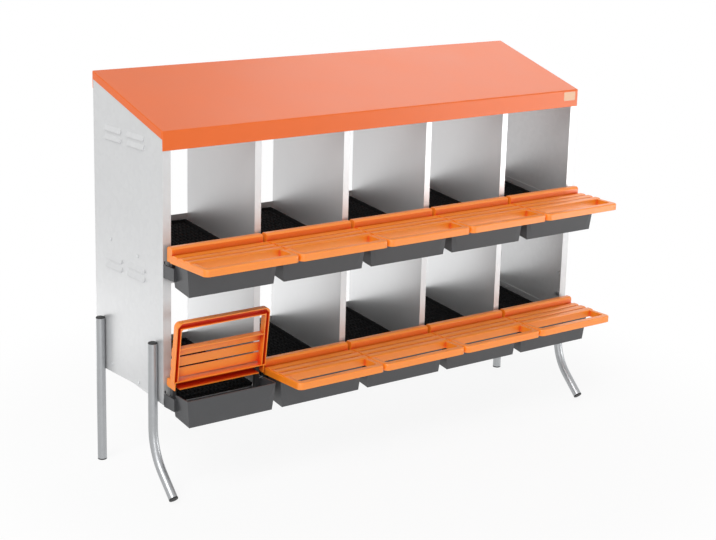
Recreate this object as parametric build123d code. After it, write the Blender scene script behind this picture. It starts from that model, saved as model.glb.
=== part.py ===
from build123d import *

import os
from math import atan, cos, degrees, hypot, radians, sin, sqrt, tan

# Ten-hole roll-away nesting box: sheet-metal cabinet on tube legs, with plastic trays, lids and mats.
# Millimetres, +Z up, the nest openings face -Y. The origin is on the floor, under the middle of the
# bounding box. Pieces are built in the cabinet's own frame, where y = 0 is the front of the hems.

# Bays and tiers
bay_count = 5
bay_pitch = 290.0
tier_rise = 347.0
tier_names = ("lower", "upper")
first_floor_height = 245.0

# Sheet-metal cabinet
cabinet_depth = 350.0
sheet = 1.0
hem_width = 24.0
divider_hem_width = 20.0
rear_flange = 12.0
top_rail_height = 90.0
panel_foot_rise = 17.0
panel_top_flange = 14.0
floor_slope = 6.3
floor_front_lip = 22.0
floor_upstand = 24.0
tab_length = 22.0
lower_tab_setbacks = (110.0, 230.0)
upper_tab_setbacks = (60.0, 280.0)
slot_clearance = 0.25

# Roof cap
roof_sheet = 1.2
roof_play = 0.8
roof_front_height = 965.0
roof_rise = 108.0
fascia_height = 50.0
roof_rear_flange = 47.0
roof_side_flange = 21.0

# Pressed ventilation louvres, one block of four in the top of each tier
louvre_length = 84.0
louvre_height = 13.0
louvre_bulge = 5.0
louvre_row_pitch = 23.0
louvre_column_setbacks = (131.0, 247.0)
louvre_floor_drop = 18.0
louvre_roof_drop = 70.5

# Egg trays
tray_wall = 3.0
tray_side_gap = 1.5
tray_rim_height = 39.0
tray_depth_below_floor = 38.0
tray_reach = 108.0
tray_draft = 9.0
tray_corner_chamfer = 4.0
bin_inset = 6.0
bin_floor_rise = 16.0
chute_length = 50.0
chute_drop = 1.0
chute_rim_height = 30.0
bin_back_setback = 26.0
apron_inset = 34.0

# Hooks that hang each tray in the hems
hook_width = 4.0
hook_height = 18.0
hook_foot_height = 12.0
hook_lip_drop = 8.0
hook_lip = 3.0
hook_drop_in = 9.0
hook_play = 0.4
hook_edge_gap = 2.0

# Hinge between tray ear and lid
hinge_rod_radius = 5.0
hinge_clearance = 0.05
hinge_height = 65.0
ear_width = 11.0
ear_side_gap = 1.0
ear_thickness = 12.0
clip_wall = 3.4
clip_sides = 12
clip_opening = 100.0
hinge_wall_gap = 5.0

# Lids
lid_gap = 4.0
lid_wall = 3.0
lid_reach = 198.0
rear_bar_thickness = 24.0
rear_bar_rise = 15.5
rear_bar_chamfer = 5.0
rear_bar_end_inset = 4.0
lid_underside_drop = 24.0
lid_frame_top_drop = 5.0
rail_width = 14.0
handle_bar = 19.0
handle_opening = 54.0
handle_corner = 14.0
handle_inner_corner = 5.0
handle_edge_chamfer = 2.5
slat_count = 3
slat_gap = 5.0
slat_thickness = 5.0
slat_bevel_run = 6.0
slat_bevel_drop = 2.0
slat_rise = 3.0
slat_end_inset = 1.0
lid_stored_angle = 83.0
open_lids = (("lower", 1),)

# Nest mats
mat_thickness = 4.0
mat_rim_height = 11.0
mat_rim_width = 7.0
mat_side_gap = 11.0
mat_front_setback = 4.0
mat_rear_gap = 6.0
mat_rib_pitch = 12.5
mat_rib_height = 3.0
mat_rib_width = 7.0
mat_rib_crest = 3.0
mat_rib_end_gap = 4.0

# Legs
leg_diameter = 25.0
leg_wall = 1.5
leg_bore_sides = 8
leg_top_height = 407.0
front_leg_setback = 32.0
rear_leg_setback = 44.0
leg_bend_radius = 160.0
leg_splay = 45.0
leg_foot_reach = 79.0
leg_seat_gap = 0.2
cap_height = 4.0
plug_length = 14.0
plug_clearance = 0.2
foot_thickness = 4.0
foot_heel = 2.5

# Fasteners
bolt_diameter = 8.0
bolt_head_across = 13.0
bolt_head_height = 5.0
bolt_clearance = 0.3
bolt_sides = 8
bolt_top_drop = 22.0
bolt_floor_gap = 17.2
bolt_end_length = 6.0
screw_diameter = 4.0
screw_head_diameter = 8.0
screw_head_height = 2.4
screw_sides = 6
screw_length = 6.0
screw_clearance = 0.2
front_screw_leg_gap = 93.0
rear_screw_leg_gap = 41.0
back_screw_margin = 10.0
roof_screw_count = 5
drill_reach = 6.0

# Derived cabinet sizes
cabinet_width = bay_count * bay_pitch
half_width = cabinet_width / 2
panel_foot_height = first_floor_height + panel_foot_rise
hem_thickness = 2 * sheet
slope_rise = tan(radians(floor_slope))
floor_rise_thickness = sheet / cos(radians(floor_slope))
back_face = cabinet_depth - 2 * sheet
floor_rear = back_face
roof_wrap = roof_sheet + roof_play
roof_front = -roof_wrap
roof_rear = cabinet_depth + roof_wrap
roof_pitch = roof_rise / (roof_rear - roof_front)
roof_rise_thickness = roof_sheet * hypot(1.0, roof_pitch)

# Derived tray, hinge and lid sizes
lid_width = bay_pitch - lid_gap
lid_half = lid_width / 2
chute_half = bay_pitch / 2 - tray_side_gap
bin_half = chute_half - bin_inset
chute_floor = -chute_drop
clip_radius = hinge_rod_radius + hinge_clearance + clip_wall
rear_bar_half_width = lid_half - rear_bar_end_inset
ear_outer = rear_bar_half_width - lid_wall - ear_side_gap
ear_inner = ear_outer - ear_width
rear_bar_half = rear_bar_thickness / 2
rear_bar_sweep = max(hypot(rear_bar_half - rear_bar_chamfer, rear_bar_rise),
                     hypot(rear_bar_half, rear_bar_rise - rear_bar_chamfer))
hinge_setback = rear_bar_sweep + hinge_wall_gap
lid_length = lid_reach - hinge_setback
hook_centre = bay_pitch / 2 - divider_hem_width / 2 + hook_edge_gap + hook_width / 2

# Derived leg and fastener sizes
leg_radius = leg_diameter / 2
leg_axis_x = half_width + leg_seat_gap + leg_radius
leg_setbacks = (front_leg_setback, cabinet_depth - rear_leg_setback)
floor_screw_setbacks = (leg_setbacks[0] + front_screw_leg_gap, leg_setbacks[1] - rear_screw_leg_gap)
leg_bore_radius = leg_radius - leg_wall
splay_angle = radians(leg_splay)
screw_hole_radius = screw_diameter / 2 + screw_clearance
bolt_hole_radius = bolt_diameter / 2 + bolt_clearance
back_screw_x = half_width - sheet / 2 - rear_flange / 2

# The bounding box runs from the lids' handle bars to the rear of the roof
front_shift = (lid_reach - roof_rear) / 2


def block(x0, x1, y0, y1, z0, z1):
    """A box between two corners."""
    centre = ((x0 + x1) / 2, (y0 + y1) / 2, (z0 + z1) / 2)
    return Pos(*centre) * Box(x1 - x0, y1 - y0, z1 - z0)


def side_profile(points, x0, x1):
    """A closed outline of (y, z) points carried from x0 to x1."""
    outline = Plane.YZ.offset(x0) * make_face(Polyline(*points, close=True))
    return extrude(outline, amount=x1 - x0, dir=(1, 0, 0))


def rod_x(radius, x0, x1, y=0.0, z=0.0):
    """A round bar along X."""
    return Pos((x0 + x1) / 2, y, z) * Rot(0, 90, 0) * Cylinder(radius, x1 - x0)


def prism(radius, sides, length):
    """A regular prism along Z from the origin, its corners on the radius."""
    return extrude(RegularPolygon(radius, sides), length)


def prism_x(radius, sides, x0, x1, y, z):
    """A regular prism along X."""
    return Pos(x0, y, z) * Rot(0, 90, 0) * prism(radius, sides, x1 - x0)


def screw_hole_x(x, y, z):
    """A screw hole along X through the sheets at x."""
    return prism_x(screw_hole_radius, screw_sides, x - drill_reach / 2, x + drill_reach / 2, y, z)


def screw_hole_y(x, y, z):
    """A screw hole along Y through the sheets at y."""
    place = Pos(x, y + drill_reach / 2, z) * Rot(90, 0, 0)
    return place * prism(screw_hole_radius, screw_sides, drill_reach)


def sloped_strip(y0, y1, height, thickness, rise, x0, x1):
    """A sheet strip with its upper face on the line height + rise * y, with square-cut ends."""
    top0 = height + rise * y0
    top1 = height + rise * y1
    outline = [(y0, top0 - thickness), (y1, top1 - thickness), (y1, top1), (y0, top0)]
    return side_profile(outline, x0, x1)


def tier_height(tier):
    """Height of a tier's nest floor at its front edge."""
    return first_floor_height + tier_rise * tier_names.index(tier)


def bay_centre(bay):
    """Middle of a bay along X, counted from 1 at the left."""
    return -half_width + bay_pitch * (bay - 0.5)


def divider_centre(index):
    """Middle of a divider along X, counted from 1 at the left."""
    return -half_width + bay_pitch * index


def roof_underside(y):
    """Height of the roof sheet's underside."""
    return roof_front_height + roof_pitch * (y - roof_front) - roof_rise_thickness


def hook_slot(x, tier):
    """The slot in a hem that takes one tray hook, tall enough to drop the hook in."""
    base = tier_height(tier) + hook_foot_height
    half = hook_width / 2 + slot_clearance
    return block(x - half, x + half, -sheet, hem_thickness + sheet, base,
                 base + hook_height + hook_drop_in)


def louvre(y, z):
    """One pressed louvre on the outer face of the left panel: its hood and the slot behind it."""
    outer = -half_width
    low, high = z - louvre_height / 2, z + louvre_height / 2
    rear = y + louvre_length / 2
    reach = outer - louvre_bulge
    hood_outline = [(outer, high), (reach, low), (outer, low)]
    cut_outline = [(outer + sheet, high - 2 * sheet), (reach + sheet, low), (outer + sheet, low)]
    hood = Plane.XZ.offset(-rear) * make_face(Polyline(*hood_outline, close=True))
    hollow = Plane.XZ.offset(sheet - rear) * make_face(Polyline(*cut_outline, close=True))
    return (extrude(hood, amount=louvre_length, dir=(0, -1, 0)),
            extrude(hollow, amount=louvre_length - 2 * sheet, dir=(0, -1, 0)))


def louvre_block_height(tier):
    """Middle height of a block of louvres, below the upper floor or below the roof."""
    if tier == "lower":
        return tier_height("upper") - louvre_floor_drop
    return roof_underside(louvre_column_setbacks[0] - louvre_length / 2) - louvre_roof_drop


def bolt_heights():
    """Heights of the bolts in each leg: one near its top, one above the lower floor's upstand."""
    upstand_top = tier_height("lower") + slope_rise * leg_setbacks[1] + floor_upstand
    return [leg_top_height - bolt_top_drop, upstand_top + bolt_floor_gap]


def floor_screw_points():
    """Setback and height of each screw through a side panel into a floor's upstand."""
    return [(y, tier_height(tier) + slope_rise * y + floor_upstand / 2)
            for tier in tier_names for y in floor_screw_setbacks]


def back_span(tier):
    """Lowest and highest point of a back panel: behind the lower floor's edge, or under the roof."""
    if tier == "lower":
        return panel_foot_height, tier_height("lower") + slope_rise * floor_rear + floor_upstand
    top = roof_underside(back_face)
    return top - top_rail_height, top


def back_screw_heights():
    """Height of the screws through the rear flanges into each back panel."""
    return [back_span(tier)[0] + back_screw_margin for tier in tier_names]


def left_side_panel():
    """Folded side sheet with front hem, rear and top flanges, louvres, slots and holes."""
    outer = -half_width
    outline = [(0, panel_foot_height), (cabinet_depth, panel_foot_height),
               (cabinet_depth, roof_underside(cabinet_depth)), (0, roof_underside(0))]
    panel = side_profile(outline, outer, outer + sheet)
    panel += block(outer, outer + hem_width, 0, hem_thickness, panel_foot_height, roof_underside(0))
    panel += block(outer, outer + rear_flange, cabinet_depth - sheet, cabinet_depth,
                   panel_foot_height, roof_underside(cabinet_depth - sheet))
    panel += sloped_strip(0, back_face, roof_underside(0), sheet, roof_pitch,
                          outer, outer + panel_top_flange)
    for tier in tier_names:
        panel -= hook_slot(bay_centre(1) - hook_centre, tier)
        for row in (-0.5, 0.5):
            for y in louvre_column_setbacks:
                z = louvre_block_height(tier) + row * louvre_row_pitch
                hood, hollow = louvre(y, z)
                panel += hood
                panel -= hollow
    for y, z in floor_screw_points():
        panel -= screw_hole_x(outer, y, z)
    for y in leg_setbacks:
        for z in bolt_heights():
            panel -= prism_x(bolt_hole_radius, bolt_sides, outer - drill_reach, outer + drill_reach, y, z)
    for z in back_screw_heights():
        panel -= screw_hole_y(-back_screw_x, cabinet_depth, z)
    return panel


def divider(tier):
    """Partition sheet with a folded T-hem in front, a rear flange and locating tabs."""
    base = tier_height(tier)
    rear = floor_rear - sheet
    half = sheet / 2
    if tier == "lower":
        ceiling_front = base + tier_rise - floor_rise_thickness
        rise = slope_rise
        hem_top = base + tier_rise - floor_front_lip
    else:
        ceiling_front = roof_underside(0)
        rise = roof_pitch
        hem_top = roof_underside(0)
    outline = [(hem_thickness, base + slope_rise * hem_thickness), (rear, base + slope_rise * rear),
               (rear, ceiling_front + rise * rear), (hem_thickness, ceiling_front + rise * hem_thickness)]
    wall = side_profile(outline, -half, half)
    foot = base + slope_rise * hem_thickness
    hem_half = divider_hem_width / 2
    wall += block(-hem_half, hem_half, 0, hem_thickness, foot, hem_top)
    wall += block(-half - rear_flange, half, rear - sheet, rear,
                  base + slope_rise * rear, ceiling_front + rise * (rear - sheet))
    for y in upper_tab_setbacks:
        wall += sloped_strip(y - tab_length / 2, y + tab_length / 2, base, floor_rise_thickness,
                             slope_rise, -half, half)
    if tier == "lower":
        for y in lower_tab_setbacks:
            wall += sloped_strip(y - tab_length / 2, y + tab_length / 2, base + tier_rise,
                                 floor_rise_thickness, slope_rise, -half, half)
    for side in (-1, 1):
        x = side * (bay_pitch / 2 - hook_centre)
        wall -= hook_slot(x, tier)
    return wall


def nest_floor(tier):
    """Sloping pan: floor sheet, front lip turned down, side and rear edges turned up."""
    base = tier_height(tier)
    inner = half_width - sheet
    front_half = half_width - hem_width - slot_clearance
    behind_hem = hem_thickness + slot_clearance
    pan = sloped_strip(behind_hem, floor_rear, base, floor_rise_thickness, slope_rise, -inner, inner)
    pan += sloped_strip(0, behind_hem, base, floor_rise_thickness, slope_rise, -front_half, front_half)
    pan += block(-front_half, front_half, 0, sheet, base - floor_front_lip, base)
    for side in (-1, 1):
        low, high = sorted((side * inner, side * (inner - sheet)))
        pan += sloped_strip(behind_hem, floor_rear, base + floor_upstand, floor_upstand,
                            slope_rise, low, high)
    rear_z = base + slope_rise * floor_rear
    pan += block(-inner, inner, floor_rear - sheet, floor_rear, rear_z - sheet, rear_z + floor_upstand)
    setbacks = upper_tab_setbacks if tier == "lower" else upper_tab_setbacks + lower_tab_setbacks
    half = sheet / 2 + slot_clearance
    for index in range(1, bay_count):
        x = divider_centre(index)
        for y in setbacks:
            pan -= block(x - half, x + half, y - tab_length / 2 - slot_clearance,
                         y + tab_length / 2 + slot_clearance, base - tier_rise / 2, base + tier_rise / 2)
    for y, z in floor_screw_points():
        for side in (-1, 1):
            pan -= screw_hole_x(side * half_width, y, z)
    return pan


def back_panel(tier):
    """Low back sheet against the rear flanges: the back is open between the two of them."""
    inner = half_width - sheet
    low, high = back_span(tier)
    panel = block(-inner, inner, back_face, back_face + sheet, low, high)
    for side in (-1, 1):
        panel -= screw_hole_y(side * back_screw_x, back_face, low + back_screw_margin)
    if tier == "upper":
        for x in roof_screw_places():
            panel -= screw_hole_y(x, back_face, roof_screw_height())
    return panel


def roof_cap():
    """Folded lean-to roof: sloping sheet, deep front fascia, rear and side flanges."""
    half = half_width + roof_wrap
    rear_height = roof_front_height + roof_rise
    cap = sloped_strip(roof_front, roof_rear, roof_front_height - roof_pitch * roof_front,
                       roof_rise_thickness, roof_pitch, -half, half)
    cap += block(-half, half, roof_front, roof_front + roof_sheet,
                 roof_front_height - fascia_height, roof_front_height)
    cap += block(-half, half, roof_rear - roof_sheet, roof_rear,
                 rear_height - roof_rear_flange, rear_height - roof_rise_thickness)
    for side in (-1, 1):
        low, high = sorted((side * half, side * (half - roof_sheet)))
        cap += sloped_strip(roof_front, roof_rear, roof_front_height - roof_pitch * roof_front,
                            roof_side_flange, roof_pitch, low, high)
    for x in roof_screw_places():
        cap -= screw_hole_y(x, roof_rear, roof_screw_height())
    return cap


def roof_screw_places():
    """Positions along X of the screws in the roof's rear flange."""
    span = cabinet_width - bay_pitch
    return [span * (index / (roof_screw_count - 1) - 0.5) for index in range(roof_screw_count)]


def roof_screw_height():
    """Height of the screws in the roof's rear flange."""
    return roof_front_height + roof_rise - roof_rear_flange / 2


def egg_tray():
    """Moulded tray of one bay: chute, egg bin, hinge ears and hanging hooks, at floor height zero."""
    bin_front, bin_back = -tray_reach, -bin_back_setback
    bin_length = bin_back - bin_front
    height = tray_rim_height + tray_depth_below_floor
    taper = degrees(atan(tray_draft / height))
    bin_place = Pos(0, (bin_front + bin_back) / 2, tray_rim_height)
    chute_under = chute_floor - tray_wall
    inner_chamfer = tray_corner_chamfer - tray_wall * (2 - sqrt(2))

    chute = block(-chute_half, chute_half, -chute_length, 0, chute_under, chute_rim_height)
    outline = Rectangle(2 * bin_half, bin_length)
    outline = bin_place * chamfer(outline.vertices(), tray_corner_chamfer)
    egg_bin = extrude(outline, amount=height, dir=(0, 0, -1), taper=taper)
    body = chute + (egg_bin - below_bin_floor(-tray_depth_below_floor))

    chute_inner = chute_half - tray_wall
    body -= block(-chute_inner, chute_inner, tray_wall - chute_length, tray_wall,
                  chute_floor, tray_rim_height)
    hollow = Rectangle(2 * (bin_half - tray_wall), bin_length - 2 * tray_wall)
    hollow = bin_place * chamfer(hollow.vertices(), inner_chamfer)
    hollow = extrude(hollow, amount=height - tray_wall, dir=(0, 0, -1), taper=taper)
    body -= hollow - below_bin_floor(tray_wall - tray_depth_below_floor)

    apron_half = chute_half - apron_inset
    body += block(-apron_half, apron_half, -tray_wall, 0, -floor_front_lip, chute_under)
    for side in (-1, 1):
        body += hinge_ear(side)
        body += tray_hook(side)
    return body


def below_bin_floor(depth):
    """The wedge under the egg bin's floor, which falls to the given depth at the front."""
    front, back = -tray_reach, -bin_back_setback
    return side_profile([(front, depth), (front, depth - tray_wall), (back, depth - tray_wall),
                         (back, depth + bin_floor_rise)], -chute_half, chute_half)


def hinge_ear(side):
    """Ear on the chute's side wall, with a snap clip that is open at the top."""
    inner, outer = sorted((side * ear_inner, side * ear_outer))
    y = -hinge_setback
    post = block(inner, outer, y - ear_thickness / 2, y + ear_thickness / 2, chute_floor, hinge_height)
    wall_inner, wall_outer = sorted((side * ear_inner, side * (chute_half - tray_wall / 2)))
    root = block(wall_inner, wall_outer, y - ear_thickness / 2, y + ear_thickness / 2,
                 chute_floor, chute_rim_height)
    ring = prism_x(clip_radius, clip_sides, inner, outer, y, hinge_height)
    bore = rod_x(hinge_rod_radius + hinge_clearance, inner, outer, y, hinge_height)
    reach = 2 * clip_radius
    spread = reach * tan(radians(clip_opening / 2))
    mouth = side_profile([(y, hinge_height), (y + spread, hinge_height + reach),
                          (y - spread, hinge_height + reach)], inner, outer)
    return post + root + ring - bore - mouth


def tray_hook(side):
    """Hook behind the chute's side wall: a tongue through the hem with a lip turned down behind it."""
    x0, x1 = sorted((side * (hook_centre - hook_width / 2), side * (hook_centre + hook_width / 2)))
    top = hook_foot_height + hook_height
    lip_front = hem_thickness + hook_play
    tongue = block(x0, x1, -tray_wall, lip_front + hook_lip, hook_foot_height, top)
    lip = block(x0, x1, lip_front, lip_front + hook_lip, hook_foot_height - hook_lip_drop, top)
    backing_in, backing_out = sorted((x0 if side > 0 else x1, side * (chute_half - tray_wall / 2)))
    backing = block(backing_in, backing_out, -2 * tray_wall, 0, chute_floor, top)
    return tongue + lip + backing


def slatted_lid():
    """Moulded lid, closed: hollow rear bar with a hinge rod, side rails, slats and a handle at the front.

    The hinge axis is the X axis through the origin.
    """
    under = -lid_underside_drop
    frame_top = -lid_frame_top_drop
    bar_inner = rear_bar_half - lid_wall
    rear_bar = block(-rear_bar_half_width, rear_bar_half_width, -rear_bar_half, rear_bar_half,
                     under, rear_bar_rise)
    rear_bar = chamfer(rear_bar.edges().filter_by(Axis.X).group_by(Axis.Z)[-1], rear_bar_chamfer)
    hollow_half = rear_bar_half_width - lid_wall
    rear_bar -= block(-hollow_half, hollow_half, -bar_inner, bar_inner, under, rear_bar_rise - lid_wall)
    for side in (-1, 1):
        x0, x1 = sorted((side * (ear_inner - ear_side_gap), side * hollow_half))
        rear_bar -= block(x0, x1, bar_inner, rear_bar_half, under, rear_bar_rise - lid_wall)
    rear_bar += rod_x(hinge_rod_radius, -hollow_half, hollow_half)

    handle_front = -lid_length
    opening_front = handle_front + handle_bar
    opening_back = opening_front + handle_opening
    frame = block(-lid_half, lid_half, handle_front, -bar_inner, under, frame_top)
    frame = fillet(frame.edges().filter_by(Axis.Z).group_by(Axis.Y)[0], handle_corner)
    rail_inner = lid_half - rail_width
    window = block(-rail_inner, rail_inner, opening_front, -rear_bar_half, under, frame_top)
    window = chamfer(window.edges().filter_by(Axis.Z).group_by(Axis.Y)[0], handle_inner_corner)
    frame -= window
    top_edges = frame.edges().group_by(Axis.Z)[-1]
    handle_edges = [edge for edge in top_edges if edge.bounding_box().max.Y < handle_front + handle_corner]
    frame = chamfer(handle_edges, handle_edge_chamfer)
    frame -= frame_channel(handle_front, opening_front, rail_inner, frame_top)

    cross_half = rail_inner + lid_wall
    cross_rail = block(-cross_half, cross_half, opening_back, opening_back + lid_wall, under, frame_top)
    lid = rear_bar + frame + cross_rail
    slat_span = -rear_bar_half - slat_gap - opening_back
    slat_width = (slat_span - slat_gap * (slat_count - 1)) / slat_count
    slat_half = lid_half - slat_end_inset
    slat_top = frame_top + slat_rise
    for index in range(slat_count):
        y0 = opening_back + index * (slat_width + slat_gap)
        lid += slat(y0, y0 + slat_width, slat_top, slat_half)
    return lid


def frame_channel(handle_front, opening_front, rail_inner, frame_top):
    """The hollow underside of the rails and the handle, which leaves an even wall round them."""
    rear = -rear_bar_half
    half = lid_half - lid_wall
    ceiling = frame_top - lid_wall
    channel = block(-half, half, handle_front + lid_wall, rear, -lid_underside_drop, ceiling)
    channel = chamfer(channel.edges().filter_by(Axis.Z).group_by(Axis.Y)[0], handle_corner - lid_wall)
    core = rail_inner + lid_wall
    return channel - block(-core, core, opening_front - lid_wall, rear, -lid_underside_drop, ceiling)


def slat(y0, y1, top, half):
    """One slat with wide bevels along its upper edges, lying across both rails."""
    shoulder = top - slat_bevel_drop
    low = top - slat_thickness
    return side_profile([(y0, low), (y1, low), (y1, shoulder), (y1 - slat_bevel_run, top),
                         (y0 + slat_bevel_run, top), (y0, shoulder)], -half, half)


def nest_mat():
    """Moulded mat: a ribbed plate with a raised rim at the sides and rear, lying on the floor's slope."""
    half = bay_pitch / 2 - mat_side_gap
    length = (floor_rear - sheet - mat_rear_gap) / cos(radians(floor_slope)) - mat_front_setback
    y0, y1 = mat_front_setback, mat_front_setback + length
    mat = block(-half, half, y0, y1, 0, mat_rim_height)
    mat -= block(mat_rim_width - half, half - mat_rim_width, y0 - mat_rim_width, y1 - mat_rim_width,
                 mat_thickness, mat_rim_height)
    rib = mat_rib(y0 + mat_rib_end_gap, y1 - mat_rim_width - mat_rib_end_gap)
    ribbed_half = half - mat_rim_width - mat_rib_end_gap - mat_rib_width / 2
    rib_count = 2 * int(ribbed_half / mat_rib_pitch) + 1
    mat += GridLocations(mat_rib_pitch, length, rib_count, 1) * rib
    return Rot(floor_slope, 0, 0) * mat


def mat_rib(y0, y1):
    """One rib of the mat down the slope, narrower at its crest than at its foot."""
    foot, crest = mat_rib_width / 2, mat_rib_crest / 2
    top = mat_thickness + mat_rib_height
    outline = Polyline((-foot, mat_thickness), (foot, mat_thickness), (crest, top), (-crest, top), close=True)
    return extrude(Plane.XZ.offset(-y1) * make_face(outline), amount=y1 - y0, dir=(0, -1, 0))


def leg_tube(path):
    """Round tube along a path that starts straight down, with a faceted bore."""
    start = path @ 0
    section = Plane(origin=start, x_dir=(1, 0, 0), z_dir=path % 0)
    ring = section * (Circle(leg_radius) - RegularPolygon(leg_bore_radius, leg_bore_sides))
    return sweep(ring, path=path)


def leg_end_height():
    """Height of the axis where a splayed tube ends, so that its heel stays above the floor."""
    return foot_heel + leg_radius * sin(splay_angle)


def front_leg_path():
    """Axis of the front left leg: straight down, a wide bend, then straight to the foot."""
    bend_drop = leg_bend_radius * sin(splay_angle)
    bend_reach = leg_bend_radius * (1 - cos(splay_angle))
    foot_run = leg_foot_reach + front_leg_setback - bend_reach
    bend_end = foot_run / tan(splay_angle)
    bend_start = bend_end + bend_drop
    x, y = -leg_axis_x, front_leg_setback
    mid = splay_angle / 2
    middle = (x, y - leg_bend_radius * (1 - cos(mid)), bend_start - leg_bend_radius * sin(mid))
    end_run = (bend_end - leg_end_height()) * tan(splay_angle)
    upper = Line((x, y, leg_top_height), (x, y, bend_start))
    bend = ThreePointArc((x, y, bend_start), middle, (x, y - bend_reach, bend_end))
    lower = Line((x, y - bend_reach, bend_end), (x, y - bend_reach - end_run, leg_end_height()))
    return Wire([upper, bend, lower])


def rear_leg_path():
    """Axis of the rear left leg, straight down."""
    y = leg_setbacks[1]
    return Wire([Line((-leg_axis_x, y, leg_top_height), (-leg_axis_x, y, foot_thickness))])


def bored_leg(path, y):
    """A leg tube with its bolt holes on the cabinet side."""
    leg = leg_tube(path)
    for z in bolt_heights():
        leg -= prism_x(bolt_hole_radius, bolt_sides, -leg_axis_x, -half_width, y, z)
    return leg


def tube_plug():
    """The part of a cap or foot that sits inside the tube, pointing up from the origin."""
    return prism(leg_bore_radius - plug_clearance, leg_bore_sides, plug_length)


def leg_caps():
    """Caps on the tops of all four legs, flush with the tubes."""
    cap = Pos(0, 0, cap_height / 2) * Cylinder(leg_radius, cap_height)
    cap += Rot(180, 0, 0) * tube_plug()
    return [Pos(side * leg_axis_x, y, leg_top_height) * cap
            for side in (-1, 1) for y in leg_setbacks]


def rear_feet():
    """Feet of the rear legs, flush with the tube."""
    foot = Pos(0, 0, foot_thickness / 2) * Cylinder(leg_radius, foot_thickness)
    foot += Pos(0, 0, foot_thickness) * tube_plug()
    return [Pos(side * leg_axis_x, leg_setbacks[1], 0) * foot for side in (-1, 1)]


def front_feet():
    """Wedge feet of the splayed front legs, cut flat on the floor."""
    path = front_leg_path()
    end = path @ 1
    length = (end.Z + leg_radius) / cos(splay_angle)
    along = Plane(origin=end, x_dir=(1, 0, 0), z_dir=-(path % 1))
    foot = along * (Pos(0, 0, -length / 2) * Cylinder(leg_radius, length))
    foot += along * tube_plug()
    ground = 4 * leg_diameter
    foot -= Pos(end.X, end.Y, -ground / 2) * Box(ground, ground, ground)
    return [foot, mirror(foot, Plane.YZ)]


def leg_bolts():
    """Hex bolts from inside the cabinet into the legs."""
    head = extrude(RegularPolygon(bolt_head_across / 2, 6, major_radius=False), bolt_head_height)
    shank_length = sheet + leg_seat_gap + leg_wall + bolt_end_length
    shank = Pos(0, 0, -shank_length) * prism(bolt_diameter / 2, bolt_sides, shank_length)
    bolt = Rot(0, 90, 0) * (head + shank)
    bolts = []
    for y in leg_setbacks:
        for z in bolt_heights():
            left = Pos(-half_width + sheet, y, z) * bolt
            bolts += [left, mirror(left, Plane.YZ)]
    return bolts


def hex_screw():
    """Self-tapping screw with a hexagon head, its shank pointing down from the origin."""
    head = prism(screw_head_diameter / 2, screw_sides, screw_head_height)
    shank = Pos(0, 0, -screw_length) * prism(screw_diameter / 2, screw_sides, screw_length)
    return head + shank


def floor_screws():
    """Screws through the side panels into the floors' upstands."""
    screw = Rot(0, -90, 0) * hex_screw()
    screws = []
    for y, z in floor_screw_points():
        left = Pos(-half_width, y, z) * screw
        screws += [left, mirror(left, Plane.YZ)]
    return screws


def back_screws():
    """Screws through the side panels' rear flanges into the back panels."""
    screw = Rot(-90, 0, 0) * hex_screw()
    return [Pos(side * back_screw_x, cabinet_depth, z) * screw
            for side in (-1, 1) for z in back_screw_heights()]


def roof_screws():
    """Screws through the roof's rear flange."""
    screw = Rot(-90, 0, 0) * hex_screw()
    return [Pos(x, roof_rear, roof_screw_height()) * screw for x in roof_screw_places()]


def write(node, *solids):
    """Write one node, moved from the cabinet's frame to the part's frame."""
    placed = [Pos(0, front_shift, 0) * solid for solid in solids]
    shape = placed[0] if len(placed) == 1 else Compound(children=placed)
    export_step(shape, f"parts/{node}.step")


def build():
    """Make every piece and write it."""
    os.makedirs("parts", exist_ok=True)
    panel = left_side_panel()
    write("left_side_panel", panel)
    write("right_side_panel", mirror(panel, Plane.YZ))
    write("roof", roof_cap())

    tray, lid, mat = egg_tray(), slatted_lid(), nest_mat()
    for tier in tier_names:
        base = tier_height(tier)
        write(f"{tier}_floor", nest_floor(tier))
        write(f"{tier}_back_panel", back_panel(tier))
        wall = divider(tier)
        for index in range(1, bay_count):
            write(f"{tier}_divider_{index}", Pos(divider_centre(index), 0, 0) * wall)
        for bay in range(1, bay_count + 1):
            place = Pos(bay_centre(bay), 0, base)
            opened = lid_stored_angle if (tier, bay) in open_lids else 0
            hinge = Pos(0, -hinge_setback, hinge_height) * Rot(-opened, 0, 0)
            write(f"{tier}_tray_{bay}", place * tray)
            write(f"{tier}_lid_{bay}", place * hinge * lid)
            write(f"{tier}_mat_{bay}", place * mat)

    for name, path, setback in zip(("front", "rear"), (front_leg_path(), rear_leg_path()), leg_setbacks):
        leg = bored_leg(path, setback)
        write(f"left_{name}_leg", leg)
        write(f"right_{name}_leg", mirror(leg, Plane.YZ))
    write("leg_caps", *leg_caps())
    write("front_feet", *front_feet())
    write("rear_feet", *rear_feet())
    write("leg_bolts", *leg_bolts())
    write("floor_screws", *floor_screws())
    write("back_screws", *back_screws())
    write("roof_screws", *roof_screws())


build()
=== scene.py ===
import math

import bpy
import numpy as np
from bpy.props import FloatProperty, FloatVectorProperty, PointerProperty
from mathutils import Matrix, Vector


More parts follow.
